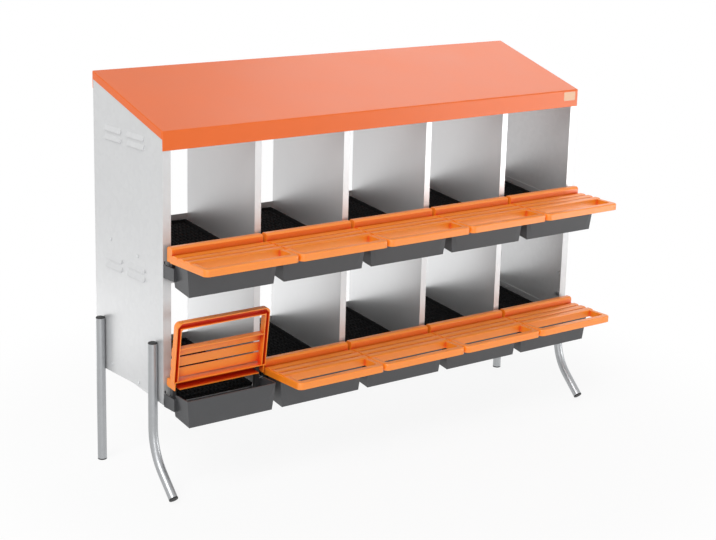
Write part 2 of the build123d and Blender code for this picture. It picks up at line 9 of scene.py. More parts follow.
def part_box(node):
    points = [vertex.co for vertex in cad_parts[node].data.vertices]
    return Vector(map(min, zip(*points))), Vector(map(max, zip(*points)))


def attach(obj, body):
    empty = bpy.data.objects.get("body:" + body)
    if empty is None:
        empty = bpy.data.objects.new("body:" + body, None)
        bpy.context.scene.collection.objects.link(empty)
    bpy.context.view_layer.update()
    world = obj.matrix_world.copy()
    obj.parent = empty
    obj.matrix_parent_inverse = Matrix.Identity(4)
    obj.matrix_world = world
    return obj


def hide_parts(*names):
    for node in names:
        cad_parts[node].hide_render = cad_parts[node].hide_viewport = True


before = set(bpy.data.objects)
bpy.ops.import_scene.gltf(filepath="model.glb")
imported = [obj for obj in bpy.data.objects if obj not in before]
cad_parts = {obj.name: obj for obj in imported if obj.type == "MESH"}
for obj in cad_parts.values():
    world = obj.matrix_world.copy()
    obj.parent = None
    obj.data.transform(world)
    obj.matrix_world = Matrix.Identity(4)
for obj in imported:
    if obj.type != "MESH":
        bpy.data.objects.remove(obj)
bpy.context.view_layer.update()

bl_info = {
    "name": "Roll-away nest box looks",
    "version": (1, 0, 0),
    "blender": (4, 5, 0),
    "location": "3D View > Sidebar > Nest box",
    "description": "Finishes, fine surfaces and studio for a ten-hole roll-away nest box",
    "category": "Object",
}

TIERS = ("lower", "upper")
BAYS = range(1, 6)
ENDS = ("left", "right")
BAY_NAMES = [f"{tier}_{{}}_{bay}" for tier in TIERS for bay in BAYS]
DIVIDERS = [f"{tier}_divider_{index}" for tier in TIERS for index in BAYS[:-1]]

# Facts of the CAD frame that its boxes do not give, in metres and radians
FLOOR_SLOPE = math.radians(6.3)
ROOF_SHEET = 0.0012
WALL_SHEET = 0.001
DIVIDER_HEM = 0.020
SPLAY = math.radians(45.0)

# Sides of round pieces, angles of a rounded edge, radius of the small ring that closes a turned shape
SIDES = 40
QUARTER_TURN = np.radians(np.linspace(0.0, 90.0, 7))
POLE = 0.0004

# Soft boxes, by the stage value that gives their power: width and height, place and target, in metres
SOFT_BOXES = {
    "fill": ((2.5, 2.0), (-3.1, -4.4, 1.6), (0.0, 0.0, 0.6)),
    "low": ((1.6, 0.8), (-2.0, -2.4, 0.30), (-0.1, 0.0, 0.5)),
    "bounce": ((1.7, 1.1), (-0.60, 1.5, 0.02), (-0.60, 1.5, 1.0)),
    "rim": ((2.5, 2.0), (-2.6, 2.9, 1.5), (-0.4, 0.1, 0.6)),
    "front": ((1.6, 1.2), (3.0, -2.4, 0.40), (0.4, -0.1, 0.9)),
    "top": ((2.2, 2.2), (2.9, 2.1, 3.3), (0.3, 0.1, 1.0)),
}


def colour(name, words, default):
    """A colour property."""
    return FloatVectorProperty(name=name, description=words, subtype="COLOR", size=3, min=0, max=1,
                               default=default)


def length(name, words, default):
    """A length property."""
    return FloatProperty(name=name, description=words, unit="LENGTH", subtype="DISTANCE", default=default)


def tilt(name, words, degrees):
    """An angle property."""
    return FloatProperty(name=name, description=words, subtype="ANGLE", default=math.radians(degrees))


def watts(name, words, default):
    """A lamp's power property."""
    return FloatProperty(name=name, description=words, unit="POWER", default=default, min=0)


def level(name, words, default):
    """A light's strength property."""
    return FloatProperty(name=name, description=words, default=default, min=0)


class NestColours(bpy.types.PropertyGroup):
    """Colours of the finishes."""
    roof: colour("Roof paint", "Powder coat of the roof", (0.82, 0.140, 0.010))
    sheet: colour("Zinc sheet", "Galvanised outer sheets", (0.63, 0.635, 0.64))
    # A lighter copy of the zinc sheet's colour, for the inner sheets: painted light in the bays
    bright: colour("Bright zinc", "Galvanised inner sheets", (0.68, 0.685, 0.69))
    lid: colour("Lid plastic", "Moulded lids", (0.99, 0.262, 0.012))
    # Colour of the painted shade in the lids' gaps and hollows
    hollow_shade: colour("Lid painted shade", "Gaps and hollows of the lids", (0.72, 0.034, 0.001))
    tray: colour("Tray plastic", "Moulded egg trays", (0.046, 0.047, 0.050))
    mat: colour("Mat plastic", "Moulded nest mats", (0.006, 0.006, 0.0065))
    tube: colour("Zinc tube", "Galvanised legs", (0.40, 0.41, 0.42))
    rubber: colour("Cap rubber", "Caps and feet of the legs", (0.018, 0.018, 0.019))
    fastener: colour("Zinc plating", "Screws and bolts", (0.72, 0.73, 0.74))
    plate: colour("Bare plate", "Plain plate on the fascia", (0.86, 0.55, 0.36))


class NestDetail(bpy.types.PropertyGroup):
    """Sizes of the fine surfaces."""
    fascia: length("Fascia", "Height of the roof's front fascia", 0.050)
    side_flange: length("Side flange", "Height of the roof's side flanges", 0.021)
    rear_flange: length("Rear flange", "Height of the roof's rear flange", 0.047)
    roof_fold: length("Roof fold", "Outer radius of the roof's folds", 0.003)
    roof_corner: length("Roof corner", "Radius of the roof's upright corners", 0.004)
    sheet_edge: length("Sheet edge", "Rounding of the cabinet's sheet edges", 0.0004)
    plastic_edge: length("Plastic edge", "Rounding of the moulded edges", 0.0012)
    rib_pitch: length("Rib pitch", "Distance between the mat's ribs", 0.0125)
    rib_height: length("Rib height", "Height of a rib above the mat's plate", 0.003)
    rib_width: length("Rib width", "Width of a rib's foot", 0.007)
    rib_crest: length("Rib crest", "Width of a rib's crest", 0.003)
    rib_end_gap: length("Rib end gap", "Distance of the ribs from the mat's rim and front", 0.004)
    nub_row: length("Nub row", "Distance between the rows of nubs", 0.0108)
    nub_height: length("Nub height", "Height of a nub above the mat's plate", 0.0045)
    nub_radius: length("Nub radius", "Radius of a nub's foot", 0.0045)
    mat_plate: length("Mat plate", "Thickness of the mat's plate", 0.004)
    mat_rim: length("Mat rim", "Height of the mat's rim", 0.011)
    mat_rim_width: length("Mat rim width", "Width of the mat's rim", 0.007)
    mat_cell: length("Mat cell", "Grid step of the mat's surface", 0.0022)
    tube_wall: length("Tube wall", "Wall of the leg tubes", 0.0015)
    bend_radius: length("Leg bend", "Radius of the front legs' bend", 0.160)


class NestStage(bpy.types.PropertyGroup):
    """Camera and light."""
    lens: FloatProperty(name="Lens", description="Focal length", unit="CAMERA", default=82.57)
    camera: FloatVectorProperty(name="Camera", subtype="XYZ", size=3, default=(-2.81989, -3.47371, 1.69722),
                                description="Place of the camera, from the front of the hems")
    azimuth: tilt("Azimuth", "Turn of the camera round the object", -38.105)
    elevation: tilt("Elevation", "Height of the camera above the horizon", 14.943)
    roll: tilt("Roll", "Tilt of the camera", 1.550)
    key: level("Key", "Strength of the key light", 1.65)
    key_azimuth: tilt("Key azimuth", "Turn of the key light round the object", -60.0)
    key_height: tilt("Key height", "Height of the key light above the horizon", 45.0)
    key_spread: tilt("Key spread", "Angle over which the key light is spread", 35.0)
    rim: watts("Rim", "Power of the soft box behind the left end", 2.0)
    front: watts("Front", "Power of the low soft box at the front right", 33.0)
    top: watts("Top", "Power of the high soft box behind the right end", 18.0)
    fill: watts("Fill", "Power of the soft box behind the camera", 17.0)
    low: watts("Low", "Power of the low soft box at the front left", 8.0)
    bounce: watts("Bounce", "Power of the soft box on the floor behind the object", 7.5)
    sky: level("Sky", "Strength of the surrounding light", 0.42)


class Port:
    """A shader socket: operators on it add Math nodes, and node() adds any other node."""

    def __init__(self, tree, socket=None):
        self.tree = tree
        self.socket = socket

    def node(self, kind, settings=None, inputs=None, out=0):
        """A new node: its settings first, then the values or links of its sockets; gives one output."""
        made = self.tree.nodes.new(kind)
        for key, value in (settings or {}).items():
            setattr(made, key, value)
        for key, value in (inputs or {}).items():
            if isinstance(value, Port):
                self.tree.links.new(value.socket, made.inputs[key])
            else:
                made.inputs[key].default_value = value
        return Port(self.tree, made.outputs[out])

    def maths(self, operation, first, second):
        """A Math node on two values or ports."""
        return self.node("ShaderNodeMath", {"operation": operation}, {0: first, 1: second})

    def __add__(self, other):
        return self.maths("ADD", self, other)

    __radd__ = __add__

    def __sub__(self, other):
        return self.maths("SUBTRACT", self, other)

    def __rsub__(self, other):
        return self.maths("SUBTRACT", other, self)

    def __mul__(self, other):
        return self.maths("MULTIPLY", self, other)

    __rmul__ = __mul__

    def __truediv__(self, other):
        return self.maths("DIVIDE", self, other)

    def __rtruediv__(self, other):
        return self.maths("DIVIDE", other, self)

    def noise(self, scale, detail=3.0, roughness=0.55):
        """Cloudy noise from 0 to 1, read at this vector."""
        return self.node("ShaderNodeTexNoise", {}, {"Vector": self, "Scale": scale, "Detail": detail,
                                                    "Roughness": roughness}, "Fac")

    def stretched(self, x, y, z):
        """This vector with its axes scaled."""
        return self.node("ShaderNodeMapping", {}, {"Vector": self, "Scale": (x, y, z)})

    def blend(self, low, high):
        """A colour between two colours, by this value."""
        return self.node("ShaderNodeMix", {"data_type": "RGBA"}, {0: self, 6: low, 7: high}, 2)

    def bump(self, distance, under=None):
        """A bump normal from this height of 0 to 1, over another normal."""
        links = {"Height": self, "Distance": distance, "Strength": 1.0}
        if under is not None:
            links["Normal"] = under
        return self.node("ShaderNodeBump", {}, links)


class Finish:
    """A material with one Principled shader, and ports to its coordinates."""

    def __init__(self, name, **constants):
        self.material = bpy.data.materials.new(name)
        self.material.use_nodes = True
        tree = self.material.node_tree
        self.shader = tree.nodes["Principled BSDF"]
        for key, value in constants.items():
            self.shader.inputs[key.replace("_", " ")].default_value = value
        self.tree = tree
        self.place = Port(tree).node("ShaderNodeTexCoord", out="Object")

    def uv(self):
        """The piece's own UV map."""
        return Port(self.tree).node("ShaderNodeUVMap", {"uv_map": "along"})

    def set(self, **ports):
        """Links ports to the shader's sockets."""
        for key, port in ports.items():
            self.tree.links.new(port.socket, self.shader.inputs[key.replace("_", " ")])
        return self.material


def shade(rgb, factor):
    """A colour made darker or lighter, with full alpha."""
    return tuple(min(1.0, c * factor) for c in rgb) + (1.0,)


def made_once(build):
    """Keeps a finish, so that all pieces of a kind share one material."""
    kept = {}

    def finish():
        if "material" not in kept:
            kept["material"] = build(bpy.context.scene.nest_colours)
        return kept["material"]
    return finish


def zinc(name, tint, metallic, gloss, spangle):
    """Galvanised sheet: spangle of a given strength, rolling lines and slow waves of a thin sheet."""
    f = Finish(name, Metallic=metallic, Specular_IOR_Level=0.5)
    flakes = f.place.node("ShaderNodeTexVoronoi", {}, {"Vector": f.place, "Scale": 75.0}, "Color")
    flake = f.place.node("ShaderNodeSeparateColor", {}, {0: flakes})
    lines = f.place.stretched(500.0, 500.0, 6.0).noise(1.0, 2.0)
    cloud = f.place.noise(9.0, 4.0)
    tone = spangle * flake + 0.25 * lines + (0.75 - spangle) * cloud
    wave = f.place.noise(4.0, 1.0).bump(0.0007)
    grain = (spangle * flake + 0.2 * lines).bump(0.000018, wave)
    return f.set(Base_Color=tone.blend(shade(tint, 0.95), shade(tint, 1.05)),
                 Roughness=gloss + 0.07 * spangle * flake + 0.06 * cloud, Normal=grain)


@made_once
def zinc_sheet(colours):
    """Outer sheets: less metallic than the inner sheets' lighter copy of this zinc, with stronger spangle."""
    return zinc("Zinc sheet", colours.sheet, 0.45, 0.32, 0.40)


@made_once
def lightened_zinc(colours):
    """Inner sheets: a lighter, more metallic copy of the outer sheets' zinc, painted light in the shaded
    bays; it mirrors the mats.
    """
    return zinc("Bright zinc", colours.bright, 0.60, 0.33, 0.06)


@made_once
def roof_paint(colours):
    """Orange powder coat: orange-peel bump, slight cloudiness of colour and gloss."""
    f = Finish("Roof paint", Specular_IOR_Level=0.42, Coat_Roughness=0.22)
    cloud = f.place.noise(7.0, 5.0)
    peel = f.place.noise(420.0, 2.0)
    wave = f.place.noise(3.2, 1.0).bump(0.003)
    return f.set(Base_Color=cloud.blend(shade(colours.roof, 0.95), shade(colours.roof, 1.05)),
                 Roughness=0.34 + 0.12 * cloud, Coat_Weight=0.05 + 0.1 * cloud,
                 Normal=peel.bump(0.00009, wave))


@made_once
def lid_plastic(colours):
    """Satin moulded orange plastic with a fine grain and flow marks, and painted shade: darker and redder in
    its gaps and hollows.
    """
    f = Finish("Lid plastic", Specular_IOR_Level=0.85, Subsurface_Weight=0.15, Subsurface_Scale=0.006,
               Subsurface_Radius=(1.0, 0.35, 0.1))
    flow = f.place.stretched(14.0, 40.0, 40.0).noise(1.0, 3.0)
    grain = f.place.noise(1500.0, 2.0)
    # Painted shade: where the lid's own ambient occlusion is low, the base colour turns to the darker, redder
    # shade colour
    painted_shade_ao = f.place.node("ShaderNodeAmbientOcclusion", {"samples": 8, "only_local": True},
                            {"Distance": 0.03}, "AO")
    plain = flow.blend(shade(colours.lid, 0.93), shade(colours.lid, 1.07))
    return f.set(Base_Color=((painted_shade_ao - 0.45) / 0.4).blend(colours.hollow_shade[:] + (1.0,), plain),
                 Roughness=0.25 + 0.12 * flow + 0.06 * grain, Normal=grain.bump(0.00005))


@made_once
def tray_plastic(colours):
    """Dark grey plastic with an eroded mould texture and a little dust."""
    f = Finish("Tray plastic", Specular_IOR_Level=0.6)
    cloud = f.place.noise(22.0, 5.0)
    grain = f.place.noise(1100.0, 3.0)
    tone = 0.6 * cloud + 0.4 * grain
    return f.set(Base_Color=tone.blend(shade(colours.tray, 0.8), shade(colours.tray, 1.25)),
                 Roughness=0.32 + 0.10 * cloud + 0.08 * grain, Normal=grain.bump(0.0001))


@made_once
def mat_plastic(colours):
    """Black moulded mat, dull with worn gloss in patches."""
    f = Finish("Mat plastic", Specular_IOR_Level=0.1)
    cloud = f.place.noise(35.0, 4.0)
    grain = f.place.noise(900.0, 2.0)
    return f.set(Base_Color=cloud.blend(shade(colours.mat, 0.7), shade(colours.mat, 1.6)),
                 Roughness=0.62 + 0.25 * cloud, Normal=grain.bump(0.0001))


@made_once
def zinc_tube(colours):
    """Galvanised tube: drawing lines along it and a cloudy zinc bloom."""
    f = Finish("Zinc tube", Metallic=0.9, Specular_IOR_Level=0.5)
    lines = f.uv().stretched(90.0, 3.0, 1.0).noise(1.0, 3.0)
    bloom = f.place.noise(60.0, 5.0)
    tone = 0.5 * lines + 0.5 * bloom
    return f.set(Base_Color=tone.blend(shade(colours.tube, 0.8), shade(colours.tube, 1.12)),
                 Roughness=0.24 + 0.18 * bloom + 0.08 * lines, Normal=lines.bump(0.00003))


@made_once
def cap_rubber(colours):
    """Black rubber with a faint bloom."""
    f = Finish("Cap rubber", Specular_IOR_Level=0.4)
    bloom = f.place.noise(180.0, 4.0)
    grain = f.place.noise(1400.0, 2.0)
    return f.set(Base_Color=bloom.blend(shade(colours.rubber, 0.7), shade(colours.rubber, 1.9)),
                 Roughness=0.5 + 0.2 * bloom, Normal=grain.bump(0.00008))


@made_once
def zinc_plating(colours):
    """Zinc-plated steel of the fasteners."""
    f = Finish("Zinc plating", Metallic=1.0)
    cloud = f.place.noise(400.0, 3.0)
    return f.set(Base_Color=cloud.blend(shade(colours.fastener, 0.85), shade(colours.fastener, 1.1)),
                 Roughness=0.24 + 0.2 * cloud)


@made_once
def plate_metal(colours):
    """Plain brushed plate without any mark."""
    f = Finish("Bare plate", Specular_IOR_Level=0.4)
    brushed = f.place.stretched(12.0, 12.0, 1600.0).noise(1.0, 2.0)
    return f.set(Base_Color=brushed.blend(shade(colours.plate, 0.92), shade(colours.plate, 1.05)),
                 Roughness=0.45 + 0.15 * brushed, Normal=brushed.bump(0.00002))


def grid_quads(rows, cols, close_rows=False, close_cols=False):
    """Corner numbers of a grid's quads, its points numbered row by row."""
    i = np.arange(rows if close_rows else rows - 1)[:, None]
    j = np.arange(cols if close_cols else cols - 1)[None, :]
    below, beside = (i + 1) % rows * cols, (j + 1) % cols
    corners = np.broadcast_arrays(i * cols + j, i * cols + beside, below + beside, below + j)
    return np.stack(corners, -1).reshape(-1, 4)


def loft(rows):
    """Closed rings of points joined one to the next, with a flat face on the first and the last ring."""
    count, around = rows.shape[:2]
    faces = grid_quads(count, around, close_cols=True).tolist()
    faces.append(np.arange(around)[::-1].tolist())
    faces.append((np.arange(around) + (count - 1) * around).tolist())
    return rows.reshape(-1, 3), faces


def ring_tube(rows):
    """Closed rings of points joined in a loop, the last back to the first, as round a pipe's wall."""
    count, around = rows.shape[:2]
    return rows.reshape(-1, 3), grid_quads(count, around, True, True).tolist()


def lathe(radii, heights, sides):
    """A profile of radius and height turned round Z; it starts and ends on small rings, closed flat."""
    angle = np.arange(sides) * 2 * np.pi / sides
    r, z = np.asarray(radii)[:, None], np.asarray(heights)[:, None]
    rows = np.stack(np.broadcast_arrays(r * np.cos(angle), r * np.sin(angle), z + 0 * angle), -1)
    return loft(rows)


def placed(shell, matrix):
    """A shell moved by a matrix."""
    points, faces = shell
    m = np.array(matrix)
    return points @ m[:3, :3].T + m[:3, 3], faces


def enclosed(points, faces):
    """Six times the volume inside a closed shell: its faces' fans of triangles, added up."""
    total = 0.0
    sizes = np.array([len(face) for face in faces])
    for size in np.unique(sizes):
        corners = points[np.array([face for face in faces if len(face) == size])]
        for k in range(1, size - 1):
            total += np.einsum("ij,ij->", corners[:, 0], np.cross(corners[:, k], corners[:, k + 1]))
    return total


def add_piece(name, shells, material, body, replaces=(), uv=None):
    """Puts closed shells into one mesh, faces outwards, and rides it on a body."""
    points, faces, start = [], [], 0
    for shell_points, shell_faces in shells:
        if enclosed(shell_points, shell_faces) < 0:
            shell_faces = [face[::-1] for face in shell_faces]
        points.append(shell_points)
        faces += [[start + corner for corner in face] for face in shell_faces]
        start += len(shell_points)
    mesh = bpy.data.meshes.new(name)
    mesh.from_pydata(np.concatenate(points).tolist(), [], faces)
    mesh.materials.append(material)
    mesh.polygons.foreach_set("use_smooth", np.ones(len(faces), bool))
    mesh.set_sharp_from_angle(angle=math.radians(35))
    if uv is not None:
        corners = np.empty(len(mesh.loops), np.int32)
        mesh.loops.foreach_get("vertex_index", corners)
        mesh.uv_layers.new(name="along").data.foreach_set("uv", uv[corners].astype(np.float32).ravel())
    mesh.update()
    piece = bpy.data.objects.new(name, mesh)
    bpy.context.scene.collection.objects.link(piece)
    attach(piece, body)
    if replaces:
        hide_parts(*replaces)
    return piece


def dress(node, material, edge, segments=2):
    """Gives a CAD node its finish and breaks its edges with live modifiers."""
    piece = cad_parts[node]
    for place in piece.material_slots:
        place.material = material
    break_edges(piece, edge, segments)


def break_edges(piece, edge, segments=2, merge=1e-5):
    """Joins a mesh's loose triangles into whole faces and rounds its edges, with live modifiers."""
    piece.modifiers.new("Joined corners", "WELD").merge_threshold = merge
    whole = piece.modifiers.new("Whole faces", "DECIMATE")
    whole.decimate_type, whole.angle_limit = "DISSOLVE", math.radians(1.0)
    # Faces of many corners are split, because the rounding can overlap them
    split = piece.modifiers.new("Split faces", "TRIANGULATE")
    split.min_vertices, split.ngon_method = 5, "BEAUTY"
    bevel = piece.modifiers.new("Broken edges", "BEVEL")
    bevel.width, bevel.segments = edge, segments
    bevel.limit_method, bevel.angle_limit = "ANGLE", math.radians(28.0)
    bevel.harden_normals = True


def rounded_outline(low, high, corner, along, arc):
    """Plan of a rounded rectangle, counter-clockwise from its front left corner.

    Gives the core points, the unit normals and the side of each column: a point at inset i is
    core + (corner - i) * normal. Each corner's arc is split in the middle between two sides,
    whose angles keep a small step apart there.
    """
    apart = np.radians(2.0)
    x = np.array([low[0] + corner, high[0] - corner])
    y = np.array([low[1] + corner, high[1] - corner])
    corners = np.array([(x[0], y[0]), (x[1], y[0]), (x[1], y[1]), (x[0], y[1])])
    core, normal, side = [], [], []
    for k in range(4):
        start, end = corners[k], corners[(k + 1) % 4]
        steps = np.linspace(0.0, 1.0, along[k % 2])[1:-1, None]
        half = np.radians(45.0) * np.linspace(-1.0, 0.0, arc)
        facing = np.radians(-90.0 + 90.0 * k)
        angles = np.concatenate([facing + half + apart, np.full(len(steps), facing),
                                 facing - half[::-1] - apart])
        core.append(np.concatenate([np.repeat(start[None], arc, 0), start + steps * (end - start),
                                    np.repeat(end[None], arc, 0)]))
        normal.append(np.stack([np.cos(angles), np.sin(angles)], -1))
        side.append(np.full(len(angles), k))
    return np.concatenate(core), np.concatenate(normal), np.concatenate(side)


class NEST_OT_roof(bpy.types.Operator):
    """Folded roof sheet with round folds, and a plain plate on its fascia"""
    bl_idname = "nest.roof"
    bl_label = "Roof"

    def execute(self, context):
        detail = context.scene.nest_detail
        low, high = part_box("roof")
        roof = self.cap(np.array(low), np.array(high), detail)
        add_piece("roof_sheet", [roof], roof_paint(), "root", ["roof"])
        plate = self.plate(np.array(low), detail)
        add_piece("fascia_plate", plate, plate_metal(), "root")
        return {"FINISHED"}

    def cap(self, low, high, detail):
        """Rings round the roof's plan, from the top's edge over the fold, down the flange and back inside.

        The top is the plane front + pitch * (y - y_front); on the fold, at angle a, the inset is
        r * (1 - sin a) and the drop r * (1 - cos a).
        """
        fold, sheet = detail.roof_fold, ROOF_SHEET
        front = low[2] + detail.fascia
        pitch = (high[2] - front) / (high[1] - low[1])
        columns, corner_steps = (40, 14), 5
        core, normal, side = rounded_outline(low, high, detail.roof_corner, columns, corner_steps)

        def plan(inset):
            return core + (detail.roof_corner - inset) * normal

        def top(inset):
            return front + pitch * (plan(inset)[:, 1] - low[1])

        foot = np.select([side == 0, side == 2], [low[2], high[2] - detail.rear_flange],
                         top(0.0) - detail.side_flange)

        def bend(radius):
            insets = fold - radius * np.sin(QUARTER_TURN)
            return [(i, top(i) - fold + radius * np.cos(a)) for i, a in zip(insets, QUARTER_TURN)]

        edge, support = 0.0003, 0.0008
        outer = [(fold + support, top(fold + support)), *bend(fold), (0.0, top(0.0) - fold - support),
                 (0.0, foot + edge + support), (0.0, foot + edge)]
        rim = [(edge, foot), (sheet - edge, foot)]
        inner = [(sheet, foot + edge), (sheet, foot + edge + support), (sheet, top(sheet) - fold - support),
                 *bend(fold - sheet)[::-1], (fold + support, top(fold + support) - sheet)]
        rows = [np.column_stack([plan(i), np.broadcast_to(z, len(core))]) for i, z in outer + rim + inner]
        return loft(np.array(rows))

    def plate(self, low, detail):
        """A thin plate with round corners and edges, and two flat rivets."""
        left, right, tall, below_middle = 0.668, 0.714, 0.026, 0.006
        thick, edge, corner, rivet_inset, rivet_sides = 0.0009, 0.0003, 0.003, 0.004, 16
        core, normal, _ = rounded_outline((left, 0.0), (right, tall), corner, (6, 5), 4)
        rings = [(0.0, 0.0), (0.0, thick - edge), (edge, thick), (2 * edge, thick)]
        rows = [np.column_stack([core + (corner - i) * normal, np.full(len(core), z)]) for i, z in rings]
        place = Matrix.Translation((0, low[1], low[2] + 0.5 * detail.fascia - below_middle))
        stand = place @ Matrix.Rotation(math.radians(90), 4, "X")
        shells = [placed(loft(np.array(rows)), stand)]
        rivet = lathe((0.0001, 0.0008, 0.0014, 0.0018, 0.0018, 0.0001),
                      (0.0016, 0.00155, 0.0013, 0.0009, 0.0, 0.0), rivet_sides)
        for x in (left + rivet_inset, right - rivet_inset):
            shells.append(placed(rivet, stand @ Matrix.Translation((x, tall / 2, 0.0))))
        return shells


class NEST_OT_cabinet(bpy.types.Operator):
    """Side panels, dividers, floors and low back panels in galvanised sheet"""
    bl_idname = "nest.cabinet"
    bl_label = "Cabinet"

    def execute(self, context):
        edge = context.scene.nest_detail.sheet_edge
        for end in ENDS:
            dress(f"{end}_side_panel", zinc_sheet(), edge)
        # Floors, back panels and dividers take the lighter copy of the zinc: painted light in the bays
        for node in [f"{tier}_{kind}" for tier in TIERS for kind in ("floor", "back_panel")]:
            dress(node, lightened_zinc(), edge)
        for node in DIVIDERS:
            shells = self.divider(node)
            wall = add_piece(node + "_sheet", shells, lightened_zinc(), "root", [node])
            break_edges(wall, edge, merge=0.2 * WALL_SHEET)
        return {"FINISHED"}

    def divider(self, node):
        """A divider with its rear flange on its right face, where the wall hides it from the front left.

        The CAD flange's outer points go back to the sheet's left face. A strip of the same width and height,
        a box from the sheet's middle outwards, stands on the right face, a hair before the sheet's rear.
        """
        hair = 0.05
        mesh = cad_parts[node].data
        points = np.empty(3 * len(mesh.vertices), np.float32)
        mesh.vertices.foreach_get("co", points)
        points = points.reshape(-1, 3).astype(float)
        corners = np.empty(len(mesh.loops), np.int32)
        mesh.loops.foreach_get("vertex_index", corners)
        low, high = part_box(node)
        middle = high.x - DIVIDER_HEM / 2
        flange = (points[:, 0] < middle - WALL_SHEET) & (points[:, 1] > high.y - 2 * WALL_SHEET)
        foot, top = points[flange, 2].min(), points[flange, 2].max()
        points[flange, 0] = middle - WALL_SHEET / 2
        x = np.array([0, 1, 1, 0]) * (middle - low.x) + middle
        y = high.y - np.array([1.0, 1.0, hair, hair]) * WALL_SHEET
        strip = np.array([np.column_stack([x, y, np.full(4, z)]) for z in (foot, top)])
        return [(points, corners.reshape(-1, 3).tolist()), loft(strip)]


class NEST_OT_trays(bpy.types.Operator):
    """Moulded egg trays"""
    bl_idname = "nest.trays"
    bl_label = "Egg trays"

    def execute(self, context):
        for name in BAY_NAMES:
            dress(name.format("tray"), tray_plastic(), context.scene.nest_detail.plastic_edge, 3)
        return {"FINISHED"}


class NEST_OT_lids(bpy.types.Operator):
    """Slatted lids"""
    bl_idname = "nest.lids"
    bl_label = "Lids"

    def execute(self, context):
        for name in BAY_NAMES:
            dress(name.format("lid"), lid_plastic(), context.scene.nest_detail.plastic_edge, 3)
        return {"FINISHED"}


class NEST_OT_mats(bpy.types.Operator):
    """Ribbed nest mats with nubs"""
    bl_idname = "nest.mats"
    bl_label = "Nest mats"

    def execute(self, context):
        detail = context.scene.nest_detail
        for name in BAY_NAMES:
            node = name.format("mat")
            low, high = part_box(node)
            shell = self.mat(np.array(low), np.array(high), detail)
            add_piece(node + "_nubs", [shell], mat_plastic(), "root", [node])
        return {"FINISHED"}

    def mat(self, low, high, detail):
        """Height over the sloping plate: plate, rim at the sides and rear, ribs down the slope, nubs.

        A rib falls from its crest to its foot in a straight line. A nub at distance d from its centre is
        h * cos(pi/2 * d / r) ** fullness high inside its radius r; its rows stand on the ribs and between
        them by turns. The rim's outer edge is lowered by a share of its height.
        """
        fullness, edge_drop = 0.6, 0.12
        rim, rim_width = detail.mat_rim, detail.mat_rim_width
        run = ((high[1] - low[1]) - rim * math.sin(FLOOR_SLOPE)) / math.cos(FLOOR_SLOPE)
        wide = high[0] - low[0]
        across = np.linspace(-wide / 2, wide / 2, round(wide / detail.mat_cell) + 1)
        along = np.linspace(0.0, run, round(run / detail.mat_cell) + 1)
        u, v = np.meshgrid(across, along)
        ribs = int((wide / 2 - rim_width - detail.rib_end_gap - detail.rib_width / 2) / detail.rib_pitch)
        from_rib = np.abs(u - np.clip(np.round(u / detail.rib_pitch), -ribs, ribs) * detail.rib_pitch)
        slope = (detail.rib_width / 2 - from_rib) / ((detail.rib_width - detail.rib_crest) / 2)
        inside = np.minimum(v, run - rim_width - v) - detail.rib_end_gap
        ends = np.clip(inside / detail.mat_cell + 0.5, 0.0, 1.0)
        rib = detail.rib_height * np.clip(slope, 0.0, 1.0) * ends
        row = np.round(v / detail.nub_row)
        turn = u / detail.rib_pitch - 0.5 * (row % 2)
        du, dv = (turn - np.round(turn)) * detail.rib_pitch, v - row * detail.nub_row
        to_edge = np.minimum(wide / 2 - np.abs(u), run - v)
        from_rim = np.minimum(to_edge - rim_width, v)
        clear = np.clip((from_rim - detail.nub_radius) / detail.mat_cell, 0.0, 1.0)
        d = np.clip(np.hypot(du, dv) / detail.nub_radius, 0.0, 1.0)
        nub = detail.nub_height * np.cos(0.5 * np.pi * d) ** fullness * clear
        step = np.clip((rim_width - to_edge) / detail.mat_cell + 0.5, 0.0, 1.0)
        crown = 1.0 - edge_drop * np.clip(1.0 - to_edge / detail.mat_cell, 0.0, 1.0)
        height = detail.mat_plate + np.maximum(rib, nub) + (rim - detail.mat_plate) * step * crown
        count, wide_count = height.shape
        top = np.stack([u, v, height], -1)
        numbers = np.arange(count * wide_count).reshape(count, wide_count)
        edge = np.concatenate([numbers[0, :-1], numbers[:-1, -1], numbers[-1, :0:-1], numbers[:0:-1, 0]])
        foot = top.reshape(-1, 3)[edge] * (1, 1, 0)
        points = np.concatenate([top.reshape(-1, 3), foot])
        down = np.arange(len(edge)) + count * wide_count
        walls = np.stack([edge, down, np.roll(down, -1), np.roll(edge, -1)], -1)
        faces = grid_quads(count, wide_count).tolist() + walls.tolist() + [down[::-1].tolist()]
        lean = Matrix.Translation(((low[0] + high[0]) / 2, low[1] + rim * math.sin(FLOOR_SLOPE), low[2]))
        return placed((points, faces), lean @ Matrix.Rotation(FLOOR_SLOPE, 4, "X"))


